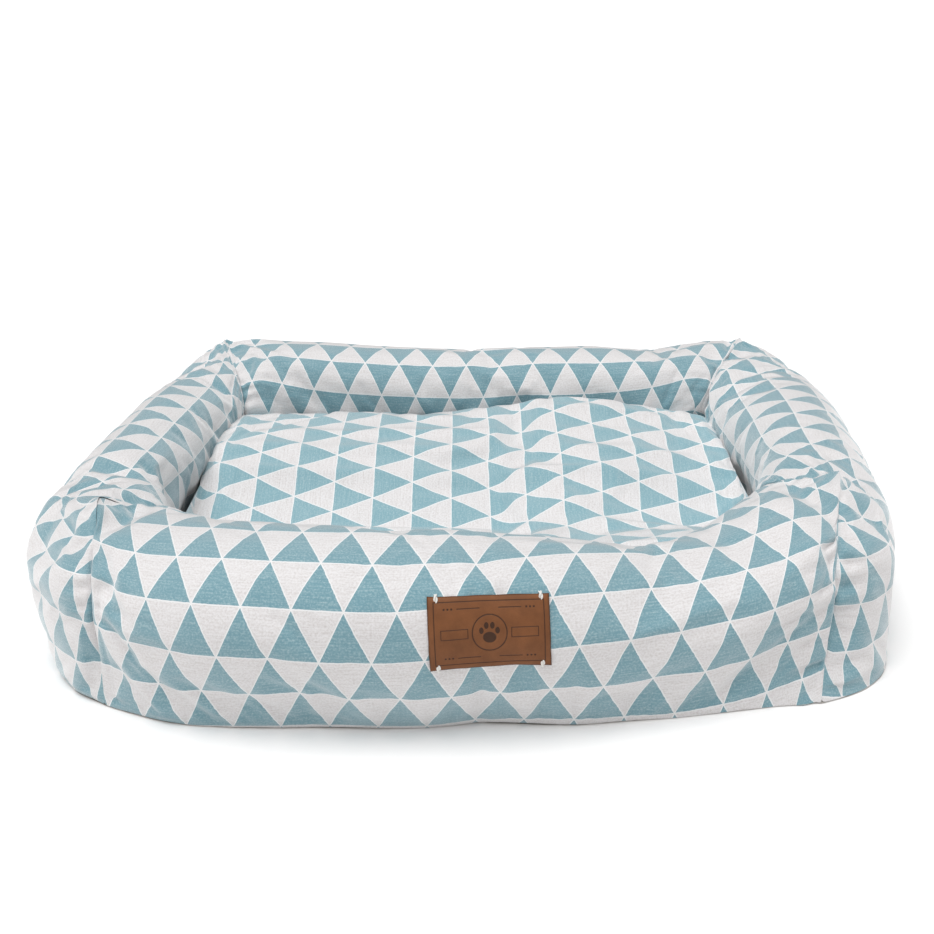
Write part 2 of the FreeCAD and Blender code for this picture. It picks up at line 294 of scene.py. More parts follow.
def wall_grid(side):
    """Points of one wall, their cloth coordinates, distances to both seams, and outward directions."""
    share, height, cloth = wall_section()
    outer, crest, inner = wall_stations(side)
    rows = len(share)
    columns = len(outer)
    points = np.zeros((columns, rows, 3))
    tuck = np.interp(np.linspace(0, 1, columns), *FOOT_TUCKS[side])
    for j in range(rows):
        edge = outer if share[j] >= 0 else inner
        away = abs(share[j])
        reach = edge - crest[:, :2]
        if height[j] < BELLY:
            # below its belly the wall tucks in by the same amount all round
            width = np.linalg.norm(reach, axis=1, keepdims=True)
            foot = tuck if share[j] >= 0 else np.full(columns, INNER_TUCK)
            kept = 1 - (1 - away) * HALF_WALL * foot[:, None] / width
            points[:, j, :2] = crest[:, :2] + kept * reach
        else:
            points[:, j, :2] = crest[:, :2] + away * reach
        lift = crest[:, 2] / WALL_TOP
        points[:, j, 2] = height[j] * (1 + (lift - 1) * min(height[j] / LEVEL_REACH, 1.0))
    # the corner seams pull in, except at the ears on top
    middle = np.concatenate([crest[:, :2], np.full((columns, 1), WALL_MIDDLE)], axis=1)[:, None, :]
    out = points - middle
    out /= np.linalg.norm(out, axis=2, keepdims=True)
    top = np.exp(-((share - 0.05) / 0.32)**2) * (height > 90 * MM)
    low = np.clip(height / (30 * MM), 0, 1)
    dip = SEAM_DEPTH * (1 - top) * low - EAR_RISE * top
    along = np.stack([lengths(points[:, j]) for j in range(rows)], axis=1)
    from_end = along[-1:, :] - along
    fall = seam_fall(along) + seam_fall(from_end)
    points -= out * (fall * dip[None, :] + SWELL * low[None, :])[:, :, None]
    # the cloth's corner stands up as a small tip on the two front seams
    near = np.full(along.shape, 1.0)
    if side in ("front", "right"):
        near = np.minimum(near, along)
    if side in ("front", "left"):
        near = np.minimum(near, from_end)
    on_top = np.exp(-((share - 0.12) / 0.2)**2)
    tip = np.exp(-(near / EAR_TIP_WIDTH)**1.4) * on_top * (height > 100 * MM)
    points += out * (EAR_TIP * tip)[:, :, None]
    # cloth coordinates
    axis = 0 if side in ("front", "back") else 1
    start = points[0, rows // 2, axis]
    end = points[-1, rows // 2, axis]
    centre = 0.0 if axis == 0 else PRINT_SIDE_CENTRE
    u = np.zeros((columns, rows))
    for j in range(rows):
        walk = lengths(points[:, j])
        place = points[:, j, axis] * (1 if end > start else -1)
        target = centre * (1 if end > start else -1)
        zero = np.interp(target, place, walk)
        u[:, j] = walk - zero
    # up the cloth: the real length over the section, level along the outer belly
    belly = int(np.argmin(np.abs(height - BELLY) + 1000 * (share < 0)))
    v = np.zeros((columns, rows))
    for i in range(columns):
        walk = lengths(points[i])
        v[i] = cloth[belly] + walk - walk[belly]
    return points, u, v, along, from_end, out


def add_puckers(points, u, v, along, from_end, out, number):
    """Short folds across each corner seam, and a slight unevenness of the stuffing."""
    columns, rows = u.shape
    for i in range(columns):
        for j in range(rows):
            near = min(along[i, j], from_end[i, j])
            seam = number if along[i, j] < from_end[i, j] else number + 1
            strength = math.exp(-near / PUCKER_REACH)
            drift = pattern_noise(v[i, j] / FOLD_DRIFT, near / FOLD_FADE, seam * 7.3)
            crease = abs(math.sin(math.pi * (v[i, j] / PUCKER_PITCH + 1.3 * drift)))
            uneven = 0.7 + pattern_noise(v[i, j] / FOLD_MIX, near / FOLD_MIX, seam * 2.9)
            fold = (crease - 0.6) * uneven * SEAM_FOLDS[seam % 4] * min(near / (6 * MM), 1)
            shift = PUCKER_DEPTH * strength * fold * min(v[i, j] / (20 * MM) + 0.6, 1)
            x, y, z = points[i, j]
            lump = pattern_noise(x / WALL_LUMP_SIZE, y / WALL_LUMP_SIZE, z / WALL_LUMP_TALL + 5) * WALL_LUMP
            shift += lump * (1 - strength)
            points[i, j] += out[i, j] * shift


def placed(name, data):
    """A new object with this data, in the scene."""
    piece = bpy.data.objects.new(name, data)
    bpy.context.scene.collection.objects.link(piece)
    return piece


def grid_mesh(name, points, u, v):
    """Mesh of a grid of points, with a UV map in metres of cloth."""
    columns, rows = u.shape
    corners = grid_faces(columns, rows)
    mesh = bpy.data.meshes.new(name)
    mesh.from_pydata(points.reshape(-1, 3).tolist(), [], corners.tolist())
    layer = mesh.uv_layers.new(name="cloth")
    flat = np.stack([u.ravel(), v.ravel()], axis=1)[corners.ravel()]
    layer.data.foreach_set("uv", flat.astype(np.float32).ravel())
    mesh.polygons.foreach_set("use_smooth", [True] * len(mesh.polygons))
    mesh.update()
    return placed(name, mesh)


def settle_cloth(points, faces, held, grow, pressure, cap):
    """Cloth simulation: the cloth is a little larger than its shape, and swells under the stuffing.

    held is how firmly each point keeps its place: 1 on seams, small elsewhere.
    Nothing moves further than cap.
    """
    scene = bpy.context.scene
    mesh = bpy.data.meshes.new("settling")
    mesh.from_pydata(points.tolist(), [], faces.tolist())
    piece = placed("settling", mesh)
    group = piece.vertex_groups.new(name="held")
    for index, weight in enumerate(held):
        group.add([index], float(weight), "REPLACE")
    cloth = piece.modifiers.new("cloth", "CLOTH")
    settings = cloth.settings
    settings.quality = 6
    settings.mass = 0.25
    settings.tension_stiffness = 25
    settings.compression_stiffness = 25
    settings.shear_stiffness = 8
    settings.bending_stiffness = 0.25
    settings.tension_damping = 8
    settings.compression_damping = 8
    settings.air_damping = 4
    settings.vertex_group_mass = "held"
    settings.pin_stiffness = 1.0
    settings.shrink_min = -grow
    settings.use_pressure = True
    settings.uniform_pressure_force = pressure
    settings.effector_weights.gravity = 0.0
    cloth.collision_settings.use_collision = False
    cloth.collision_settings.use_self_collision = False
    for step in range(1, CLOTH_STEPS + 1):
        scene.frame_set(step)
    graph = bpy.context.evaluated_depsgraph_get()
    result = piece.evaluated_get(graph).to_mesh()
    settled = np.zeros(len(points) * 3)
    result.vertices.foreach_get("co", settled)
    settled = settled.reshape(-1, 3)
    bpy.data.objects.remove(piece)
    scene.frame_set(1)
    moved = settled - points
    far = np.linalg.norm(moved, axis=1, keepdims=True)
    return points + moved * np.minimum(1, cap / np.maximum(far, 1e-9))


def grid_faces(columns, rows, first=0):
    """Vertex numbers of the quads of a grid whose vertices start at first."""
    index = np.arange(columns * rows).reshape(columns, rows) + first
    quads = [index[:-1, :-1], index[1:, :-1], index[1:, 1:], index[:-1, 1:]]
    return np.stack(quads, axis=-1).reshape(-1, 4)


def settle_walls(grids):
    """One simulation for the four walls, joined at their corner seams."""
    blocks = []
    faces = []
    held = []
    first = 0
    for side in SIDES:
        points, u, v = grids[side][:3]
        columns, rows = u.shape
        firm = np.full((columns, rows), WALL_HOLD)
        firm[[0, -1], :] = 1.0
        firm[:, :2] = 1.0
        firm[:, -2:] = 1.0
        blocks.append(points.reshape(-1, 3))
        held.append(firm.ravel())
        faces.append(grid_faces(columns, rows, first))
        first += columns * rows
    together = np.concatenate(blocks)
    settled = settle_cloth(
        together, np.concatenate(faces), np.concatenate(held), CLOTH_GROW, WALL_PRESSURE, WALL_CAP)
    first = 0
    for side in SIDES:
        points, u, v = grids[side][:3]
        count = u.size
        grids[side] = (settled[first:first + count].reshape(points.shape), u, v, grids[side][3])
        first += count


def build_walls():
    """The four walls' pieces, and their grids: points, u, v, and the middle column's cloth heights."""
    pieces = {}
    grids = {}
    seams = {}
    for number, side in enumerate(SIDES):
        points, u, v, along, from_end, out = wall_grid(side)
        seams[side] = (along, from_end, out, number)
        along_shift, up_shift = PRINT_SHIFT[side]
        droop = 0.0
        if side == "front":
            droop = np.interp(points[:, :, 0], *PRINT_DROOP)
            u += np.interp(points[:, :, 0], *PRINT_EASE)
        start, end = GATHERS[side]
        u += end * np.exp(-from_end / GATHER_REACH) - start * np.exp(-along / GATHER_REACH)
        grids[side] = (points, u + along_shift, v + up_shift + droop, v[len(v) // 2].copy())
    settle_walls(grids)
    for side in SIDES:
        add_puckers(*grids[side][:3], *seams[side])
        pieces[side] = grid_mesh(side + "_wall", *grids[side][:3])
    return pieces, grids


# ---------------------------------------------------------------- loose cushion

CUSHION_SEAM = 38 * MM
CUSHION_UNDER = 16 * MM
CUSHION_GRID = 4 * MM
CUSHION_COLUMN = -24.8 * MM     # a column line of the print runs here
CUSHION_HOLD = 0.12
CUSHION_PRESSURE = 1.0
CUSHION_CAP = 6 * MM
CUSHION_SEAM_RISE = 26 * MM
CUSHION_SIDE_SWELL = 25 * MM
CUSHION_BACK_CLEAR = 10 * MM    # kept from the back wall's inner belly
CUSHION_ROUND = 24 * MM         # how far from the seam the pillow rounds over

# Height of the cushion's top along its depth, on a line a little left of the middle: (y, z)
CUSHION_RIDGE = [
    (-133, 50), (-115, 57), (-95, 56), (-75, 50), (-50, 41), (-30, 39), (0, 53), (28, 70), (60, 82),
    (95, 87), (130, 87), (155, 84), (182, 80),
]
# Soft hills and hollows pressed into it: (x, y, reach across, reach along, height)
CUSHION_LUMPS = [
    (102, 150, 98, 38, 18), (232, 40, 60, 90, -12), (-225, -20, 40, 90, 10), (95, -20, 60, 34, 12),
    (25, -22, 18, 18, -5), (58, -8, 16, 16, -4), (-150, -35, 50, 26, 6), (45, 122, 18, 40, -6),
    (200, -60, 60, 50, 10),
]

CUSHION_CROWDING = 0.92         # how strongly the grid's stations crowd towards the seams, 0 to 1
CUSHION_CORNER = 0.07           # how much of each side the corners' rounding takes
CUSHION_START = -32 * MM        # the print's rows are counted from here, along the depth
CUSHION_LUMP = 1.8 * MM
CUSHION_PUCKER = 3.2 * MM
CUSHION_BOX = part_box("cushion_top_panel")


def cushion_outline(share_x, share_y):
    """Plan position for shares from -1 to 1 across and along, with rounded corners."""
    low, high = CUSHION_BOX
    back = high.y - CUSHION_BACK_CLEAR
    half_x = (high.x - low.x) / 2 + CUSHION_SIDE_SWELL
    half_y = (back - low.y) / 2
    middle_x = (high.x + low.x) / 2 - 4 * MM
    middle_y = (back + low.y) / 2
    round_x = math.sqrt(1 - CUSHION_CORNER * share_y**6)
    round_y = math.sqrt(1 - CUSHION_CORNER * share_x**6)
    x = middle_x + share_x * half_x * round_x
    y = middle_y + share_y * half_y * round_y
    return x, y


def cushion_seam(x, y):
    """The seam is low at the zip, and rides up between the walls at the sides and towards the back."""
    rise_back = min(max((y + 110 * MM) / (110 * MM), 0), 1)
    rise_side = min(max((abs(x) - 172 * MM) / (60 * MM), 0), 1)
    rise = max(rise_back, rise_side)
    return CUSHION_SEAM + CUSHION_SEAM_RISE * rise * rise * (3 - 2 * rise)


def crowded_share(k, count):
    """Share from -1 to 1 of station k. Stations are closer near the seams, where the top turns down."""
    quarter = math.pi / 2
    place = quarter * (2 * k / (count - 1) - 1) * CUSHION_CROWDING
    return math.sin(place) / math.sin(quarter * CUSHION_CROWDING)


def cushion_height(x, y):
    """Height of the cushion's top before it rounds down to its seam."""
    height = np.interp(y / MM, [p[0] for p in CUSHION_RIDGE], [p[1] for p in CUSHION_RIDGE])
    for at_x, at_y, across, along, lift in CUSHION_LUMPS:
        height += lift * math.exp(-((x / MM - at_x) / across)**2 - ((y / MM - at_y) / along)**2)
    return height * MM


def pillow_edge(distance):
    """0 at the seam and 1 inside, upright at the seam."""
    inwards = min(distance / CUSHION_ROUND, 1.0)
    return (1 - (1 - inwards)**2.3)**(1 / 2.3)


def cushion_panel(name, top):
    """Top or bottom half of the pillow, out to its seam."""
    low, high = CUSHION_BOX
    columns = int((high.x - low.x) / CUSHION_GRID) + 1
    rows = int((high.y - low.y) / CUSHION_GRID) + 1
    points = np.zeros((columns, rows, 3))
    for i in range(columns):
        share_x = crowded_share(i, columns)
        for j in range(rows):
            share_y = crowded_share(j, rows)
            x, y = cushion_outline(share_x, share_y)
            from_side = (1 - abs(share_x)) * (high.x - low.x) / 2
            from_end = (1 - abs(share_y)) * (high.y - low.y) / 2
            distance = 1 / (1 / max(from_side, 1e-6)**1.6 + 1 / max(from_end, 1e-6)**1.6)**(1 / 1.6)
            rise = pillow_edge(distance)
            seam = cushion_seam(x, y)
            fold = math.exp(-distance / (16 * MM)) * min(distance / (3 * MM), 1)
            run = (x if from_end < from_side else y) / (12 * MM)
            pucker = pattern_noise(run, distance / 0.05, 3.3 if top else 8.8) * CUSHION_PUCKER * fold
            if top:
                smooth = cushion_height(x, y)
                lump = pattern_noise(x / 0.06, y / 0.06, 2.2) * CUSHION_LUMP
                z = seam + (smooth + lump - seam) * rise + pucker
            else:
                z = seam - (seam - CUSHION_UNDER) * rise - pucker * 0.6
                z = max(z, CUSHION_UNDER)
            points[i, j] = (x, y, z)
    u = np.zeros((columns, rows))
    v = np.zeros((columns, rows))
    for j in range(rows):
        walk = lengths(points[:, j])
        v[:, j] = walk - np.interp(CUSHION_COLUMN, points[:, j, 0], walk)
    for i in range(columns):
        walk = lengths(points[i])
        u[i] = walk - np.interp(CUSHION_START, points[i, :, 1], walk)
    if top:
        points = settle_cushion(points)
    if not top:
        points = points[::-1]
        u = u[::-1]
        v = v[::-1]
    return grid_mesh(name, points, u, v)


def settle_cushion(points):
    """The cushion's top settled the same way, held along its seam."""
    columns, rows = points.shape[:2]
    held = np.full((columns, rows), CUSHION_HOLD)
    held[[0, -1], :] = 1.0
    held[:, [0, -1]] = 1.0
    faces = grid_faces(columns, rows)
    settled = settle_cloth(
        points.reshape(-1, 3), faces, held.ravel(), CLOTH_GROW, CUSHION_PRESSURE, CUSHION_CAP)
    return settled.reshape(points.shape)


# ---------------------------------------------------------------- base

BASE_RINGS = 40


def base_sheet(name, loop, height, sag, up):
    """A sheet filling a closed plan loop, in rings that shrink to its middle. Its cloth map is the plan."""
    middle = loop.mean(axis=0)
    columns = len(loop)
    points = np.zeros((columns + 1, BASE_RINGS, 3))
    for ring in range(BASE_RINGS):
        share = 1 - 0.999 * ring / (BASE_RINGS - 1)
        place = middle + (loop - middle) * share
        for i in range(columns + 1):
            x, y = place[i % columns]
            wave = pattern_noise(x / 0.05, y / 0.05, height * 90) * sag
            edge = math.exp(-(1 - share) * 30)
            pleat = pattern_noise(i * 0.55, share * 8, 4.4) * sag * edge
            points[i, ring] = (x, y, height + abs(wave) + abs(pleat))
    u = points[:, :, 0]
    v = points[:, :, 1]
    if up:
        points = points[::-1]
        u = u[::-1]
        v = v[::-1]
    return grid_mesh(name, points, u, v)


# ---------------------------------------------------------------- leather patch and its stitches

PATCH_WIDTH = 85 * MM
PATCH_HEIGHT = 51 * MM
PATCH_THICKNESS = 1.8 * MM
PATCH_X = 7.5 * MM
PATCH_V = 92 * MM               # its middle, along the cloth from the print's first row
PATCH_TILT = math.radians(2.3)
PATCH_CLEAR = 0.8 * MM          # from the smoothed wall to the leather's back
PATCH_SMOOTHING = 12
STITCH_INSET = 6.0 * MM
STITCH_LENGTH = 7.5 * MM
STITCH_RADIUS = 1.25 * MM


def wall_surface(points, cloth):
    """Function from (x, cloth height) to a place on the front wall's smoothed outside."""
    points = points.copy()
    for _ in range(PATCH_SMOOTHING):
        around = points[:-2, 1:-1] + points[2:, 1:-1] + points[1:-1, :-2] + points[1:-1, 2:]
        points[1:-1, 1:-1] = (around + 2 * points[1:-1, 1:-1]) / 6

    def at(x, height):
        j = int(np.clip(np.searchsorted(cloth, height), 1, len(cloth) - 1))
        f = (height - cloth[j - 1]) / (cloth[j] - cloth[j - 1])
        line = points[:, j - 1] * (1 - f) + points[:, j] * f
        return np.array([x, np.interp(x, line[:, 0], line[:, 1]), np.interp(x, line[:, 0], line[:, 2])])

    return at


def patch_point(at, a, b, lift):
    """Point over the wall at a across and b up from the patch's middle, along its tilted edges."""
    x = PATCH_X + a * math.cos(PATCH_TILT) - b * math.sin(PATCH_TILT)
    height = PATCH_V + a * math.sin(PATCH_TILT) + b * math.cos(PATCH_TILT)
    step = 4 * MM
    place = at(x, height)
    across = at(x + step, height) - at(x - step, height)
    upwards = at(x, height + step) - at(x, height - step)
    out = np.cross(across, upwards)
    out /= np.linalg.norm(out)
    return place + out * lift, out


def patch_mesh(at):
    """The leather: slightly uneven edges, a rounded edge all round, and a flat back."""
    columns, rows = 58, 36
    front = np.zeros((columns, rows, 3))
    back = np.zeros((columns, rows, 3))
    u = np.zeros((columns, rows))
    v = np.zeros((columns, rows))
    for i in range(columns):
        for j in range(rows):
            a = (i / (columns - 1) - 0.5) * PATCH_WIDTH
            b = (j / (rows - 1) - 0.5) * PATCH_HEIGHT
            a += pattern_noise(b / 0.012, 0.3, 1.1) * 0.35 * MM * abs(2 * i / (columns - 1) - 1)**6
            b += pattern_noise(a / 0.012, 5.3, 1.1) * 0.35 * MM * abs(2 * j / (rows - 1) - 1)**6
            edge = min(i, j, columns - 1 - i, rows - 1 - j)
            soften = (0.5, 0.85, 1.0)[min(edge, 2)]
            corner = min(i, columns - 1 - i) + min(j, rows - 1 - j)
            curl = 1.2 * MM * math.exp(-corner / 5)
            front[i, j] = patch_point(at, a, b, PATCH_THICKNESS * soften + curl + PATCH_CLEAR)[0]
            back[i, j] = patch_point(at, a, b, PATCH_CLEAR + curl)[0]
            u[i, j] = a
            v[i, j] = b
    index = np.arange(columns * rows).reshape(columns, rows)
    count = columns * rows
    faces = []
    for i in range(columns - 1):
        for j in range(rows - 1):
            faces.append((index[i, j], index[i + 1, j], index[i + 1, j + 1], index[i, j + 1]))
            faces.append((index[i, j] + count, index[i, j + 1] + count, index[i + 1, j + 1] + count,
                          index[i + 1, j] + count))
    rim = [index[i, 0] for i in range(columns)]
    rim += [index[-1, j] for j in range(1, rows)]
    rim += [index[i, -1] for i in range(columns - 2, -1, -1)]
    rim += [index[0, j] for j in range(rows - 2, 0, -1)]
    for k, first in enumerate(rim):
        second = rim[(k + 1) % len(rim)]
        faces.append((second, first, first + count, second + count))
    mesh = bpy.data.meshes.new("leather_patch")
    faces = [tuple(int(k) for k in f) for f in faces]
    mesh.from_pydata(np.concatenate([front.reshape(-1, 3), back.reshape(-1, 3)]).tolist(), [], faces)
    layer = mesh.uv_layers.new(name="cloth")
    flat = np.stack([np.tile(u.ravel(), 2), np.tile(v.ravel(), 2)], axis=1)
    order = np.zeros(len(mesh.loops), int)
    mesh.loops.foreach_get("vertex_index", order)
    layer.data.foreach_set("uv", flat[order].astype(np.float32).ravel())
    mesh.polygons.foreach_set("use_smooth", [True] * len(mesh.polygons))
    return placed("leather_patch", mesh)


def tube(verts, faces, path, radii, around=10):
    """Adds a closed round tube along path."""
    path = [Vector(p) for p in path]
    start = len(verts)
    for k, place in enumerate(path):
        ahead = path[min(k + 1, len(path) - 1)] - path[max(k - 1, 0)]
        ahead.normalize()
        side = ahead.orthogonal() if k == 0 else side - ahead * side.dot(ahead)
        side.normalize()
        other = ahead.cross(side)
        for m in range(around):
            angle = 2 * math.pi * m / around
            verts.append(place + (side * math.cos(angle) + other * math.sin(angle)) * radii[k])
    for k in range(len(path) - 1):
        for m in range(around):
            a = start + k * around + m
            b = start + k * around + (m + 1) % around
            faces.append((a, b, b + around, a + around))
    faces.append(tuple(start + m for m in reversed(range(around))))
    faces.append(tuple(start + (len(path) - 1) * around + m for m in range(around)))


def plain_mesh(name, verts, faces):
    """A piece without a UV map."""
    mesh = bpy.data.meshes.new(name)
    mesh.from_pydata([tuple(p) for p in verts], [], faces)
    mesh.polygons.foreach_set("use_smooth", [True] * len(mesh.polygons))
    return placed(name, mesh)


def patch_stitches(at):
    """Four stitches over the top and bottom edges, each of two strands that sink in at both ends."""
    verts = []
    faces = []
    for across in (-1, 1):
        for up in (-1, 1):
            a0 = across * (PATCH_WIDTH / 2 - STITCH_INSET)
            for strand in (-1, 1):
                path = []
                radii = []
                steps = 16
                for k in range(steps + 1):
                    f = k / steps
                    b = up * (PATCH_HEIGHT / 2 + (0.32 - f) * STITCH_LENGTH)
                    twist = f * math.pi * 1.6 + (math.pi if strand > 0 else 0)
                    wide = STITCH_RADIUS * 0.62 * math.cos(twist)
                    proud = math.sin(math.pi * f)**0.5
                    over = PATCH_THICKNESS + PATCH_CLEAR + 0.5 * MM
                    if f < 0.22:
                        over *= 0.25 + 0.75 * f / 0.22
                    lift = over * proud + STITCH_RADIUS * 0.45 * math.sin(twist)
                    path.append(patch_point(at, a0 + wide, b, lift)[0])
                    radii.append(STITCH_RADIUS * 0.66 * (0.35 + 0.65 * proud))
                tube(verts, faces, path, radii)
    return plain_mesh("patch_stitches", verts, faces)


# ---------------------------------------------------------------- zip

COIL_PITCH = 1.5 * MM
COIL_WIRE = 0.34 * MM


def coil_turns(name, node, mate):
    """The nylon coil that a plain bar stands for: one loop a pitch, its nose towards the other half."""
    low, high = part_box(node)
    up = 1 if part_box(mate)[0].z > low.z else -1
    root = low.z if up > 0 else high.z
    nose = (high.z + 0.5 * MM) if up > 0 else (low.z - 0.5 * MM)
    shift = 0.0 if up > 0 else COIL_PITCH / 2
    verts = []
    faces = []
    turns = int((high.x - low.x - 2 * COIL_PITCH) / COIL_PITCH)
    for k in range(turns):
        x = low.x + COIL_PITCH * (k + 0.75) + shift
        near = high.y - COIL_WIRE
        far = low.y + COIL_WIRE
        path = [
            (x - COIL_PITCH * 0.22, near, root), (x - COIL_PITCH * 0.12, near, nose - up * 0.4 * MM),
            (x, (near + far) / 2, nose), (x + COIL_PITCH * 0.12, far, nose - up * 0.4 * MM),
            (x + COIL_PITCH * 0.22, far, root),
        ]
        tube(verts, faces, path, [COIL_WIRE] * 5, 6)
    return plain_mesh(name, verts, faces)


# ---------------------------------------------------------------- materials

class Nodes:
    """Writes a material's node tree."""

    def __init__(self, name):
        self.material = bpy.data.materials.new(name)
        self.material.use_nodes = True
        self.tree = self.material.node_tree
        self.tree.nodes.clear()

    def add(self, kind, **settings):
        node = self.tree.nodes.new(kind)
        for key, value in settings.items():
            setattr(node, key, value)
        return node

    def plug(self, source, socket):
        if isinstance(source, bpy.types.NodeSocket):
            self.tree.links.new(source, socket)
        else:
            socket.default_value = source

    def math(self, operation, a, b=0.0, clamp=False):
        node = self.add("ShaderNodeMath", operation=operation, use_clamp=clamp)
        self.plug(a, node.inputs[0])
        self.plug(b, node.inputs[1])
        return node.outputs[0]

    def mix(self, factor, a, b):
        node = self.add("ShaderNodeMix", data_type="RGBA")
        self.plug(factor, node.inputs[0])
        self.plug(a, node.inputs[6])
        self.plug(b, node.inputs[7])
        return node.outputs[2]

    def noise(self, vector, scale, detail=2.0, roughness=0.5):
        node = self.add("ShaderNodeTexNoise")
        self.plug(vector, node.inputs["Vector"])
        node.inputs["Scale"].default_value = scale
        node.inputs["Detail"].default_value = detail
        node.inputs["Roughness"].default_value = roughness
        return node.outputs["Fac"]

    def cloth(self):
        """The two cloth coordinates, in metres."""
        uv = self.add("ShaderNodeUVMap", uv_map="cloth")
        split = self.add("ShaderNodeSeparateXYZ")
        self.plug(uv.outputs[0], split.inputs[0])
        return split.outputs[0], split.outputs[1]

    def combine(self, x, y, z=0.0):
        node = self.add("ShaderNodeCombineXYZ")
        self.plug(x, node.inputs[0])
        self.plug(y, node.inputs[1])
        self.plug(z, node.inputs[2])
        return node.outputs[0]

    def finish(self, colour, roughness, bump=None, bump_depth=0.2 * MM, sheen=0.0, metal=0.0):
        shader = self.add("ShaderNodeBsdfPrincipled")
        self.plug(colour, shader.inputs["Base Color"])
        self.plug(roughness, shader.inputs["Roughness"])
        shader.inputs["Metallic"].default_value = metal
        shader.inputs["Specular IOR Level"].default_value = 0.25 if metal == 0 else 0.5
        if sheen:
            shader.inputs["Sheen Weight"].default_value = sheen
            shader.inputs["Sheen Roughness"].default_value = 0.5
        if bump is not None:
            node = self.add("ShaderNodeBump")
            node.inputs["Strength"].default_value = 1.0
            node.inputs["Distance"].default_value = bump_depth
            self.plug(bump, node.inputs["Height"])
            self.tree.links.new(node.outputs[0], shader.inputs["Normal"])
        output = self.add("ShaderNodeOutputMaterial")
        self.tree.links.new(shader.outputs[0], output.inputs[0])
        return self.material


TEAL = (0.165, 0.325, 0.385, 1)
CUSHION_TEAL_PAINTED_LIGHT = (0.225, 0.405, 0.465, 1)     # the cushion's print is painted paler than the walls': painted light, standing in for the brighter light on its top
LINEN = (0.80, 0.785, 0.79, 1)
WORN_TEAL = (0.50, 0.64, 0.66, 1)
DARK_LINEN = (0.54, 0.50, 0.48, 1)
PRINT_WHITE = (0.84, 0.84, 0.84, 1)
THREAD_PITCH = 0.9 * MM


def canvas_weave(n, u, v):
    """Height of a plain weave with uneven threads, and slubs along the rows."""
    weft = n.math("SINE", n.math("MULTIPLY", v, 2 * math.pi / THREAD_PITCH))
    warp = n.math("SINE", n.math("MULTIPLY", u, 2 * math.pi / THREAD_PITCH))
    woven = n.math("MULTIPLY", n.math("MULTIPLY", weft, warp), 0.25)
    streak = n.noise(n.combine(n.math("MULTIPLY", u, 45.0), n.math("MULTIPLY", v, 900.0)), 1.0, 3.0, 0.6)
    grain = n.noise(n.combine(n.math("MULTIPLY", u, 620.0), n.math("MULTIPLY", v, 620.0)), 1.0, 2.0, 0.7)
    return woven, streak, grain


def printed_canvas(name, ink):
    """Canvas printed with rows of triangles, light lines between them, thin ink and a visible weave."""
    n = Nodes(name)
    u, v = n.cloth()
    woven, streak, grain = canvas_weave(n, u, v)
    wobble = n.noise(n.combine(n.math("MULTIPLY", u, 260.0), n.math("MULTIPLY", v, 260.0)), 1.0, 3.0, 0.6)
    wobble = n.math("MULTIPLY", n.math("SUBTRACT", wobble, 0.5), 0.9 * MM)
    r = n.math("DIVIDE", n.math("ADD", v, wobble), ROW)
    c = n.math("DIVIDE", n.math("ADD", u, wobble), TRIANGLE)
    p = n.math("SUBTRACT", c, n.math("MULTIPLY", r, 0.5))
    q = n.math("ADD", c, n.math("MULTIPLY", r, 0.5))
    part_p = n.math("FRACT", p)
    part_r = n.math("FRACT", r)
    teal = n.math("LESS_THAN", n.math("ADD", part_p, part_r), 1.0)
    slant = ROW / math.hypot(ROW, TRIANGLE / 2)

    def to_line(value, width):
        near = n.math("SUBTRACT", n.math("FRACT", n.math("ADD", value, 0.5)), 0.5)
        return n.math("MULTIPLY", n.math("ABSOLUTE", near), width)

    nearest = n.math("MINIMUM", to_line(r, ROW), to_line(p, TRIANGLE * slant))
    nearest = n.math("MINIMUM", nearest, to_line(q, TRIANGLE * slant))
    line = n.math("LESS_THAN", nearest, PRINT_LINE)
    faded = n.math("MULTIPLY", n.math("SUBTRACT", streak, 0.5), 1.1)
    speck = n.math("MULTIPLY", n.math("SUBTRACT", grain, 0.5), 1.7)
    thin = n.math("ADD", 0.12, n.math("ADD", faded, speck), clamp=True)
    teal_ink = n.mix(thin, ink, WORN_TEAL)
    worn = n.math("ADD", 0.22, n.math("ADD", faded, speck), clamp=True)
    linen = n.mix(worn, LINEN, DARK_LINEN)
    colour = n.mix(teal, linen, teal_ink)
    colour = n.mix(line, colour, PRINT_WHITE)
    rough_yarn = n.math("ADD", n.math("MULTIPLY", grain, 0.8), n.math("MULTIPLY", streak, 0.5))
    bump = n.math("ADD", woven, rough_yarn)
    return n.finish(colour, 0.92, bump, 0.16 * MM, sheen=1.0)


def plain_canvas(name, colour, dark):
    """The same weave without a print."""
    n = Nodes(name)
    woven, streak, grain = canvas_weave(n, *n.cloth())
    factor = n.math("ADD", n.math("MULTIPLY", streak, 0.6), n.math("MULTIPLY", grain, 0.3), clamp=True)
    bump = n.math("ADD", woven, grain)
    return n.finish(n.mix(factor, colour, dark), 0.93, bump, 0.18 * MM, sheen=0.1)


def box_shape(n, a, b, centre, half, soft=0.15 * MM):
    """1 inside a rectangle of the patch's plane, 0 outside."""
    da = n.math("SUBTRACT", n.math("ABSOLUTE", n.math("SUBTRACT", a, centre[0])), half[0])
    db = n.math("SUBTRACT", n.math("ABSOLUTE", n.math("SUBTRACT", b, centre[1])), half[1])
    return n.math("DIVIDE", n.math("SUBTRACT", soft, n.math("MAXIMUM", da, db)), 2 * soft, clamp=True)


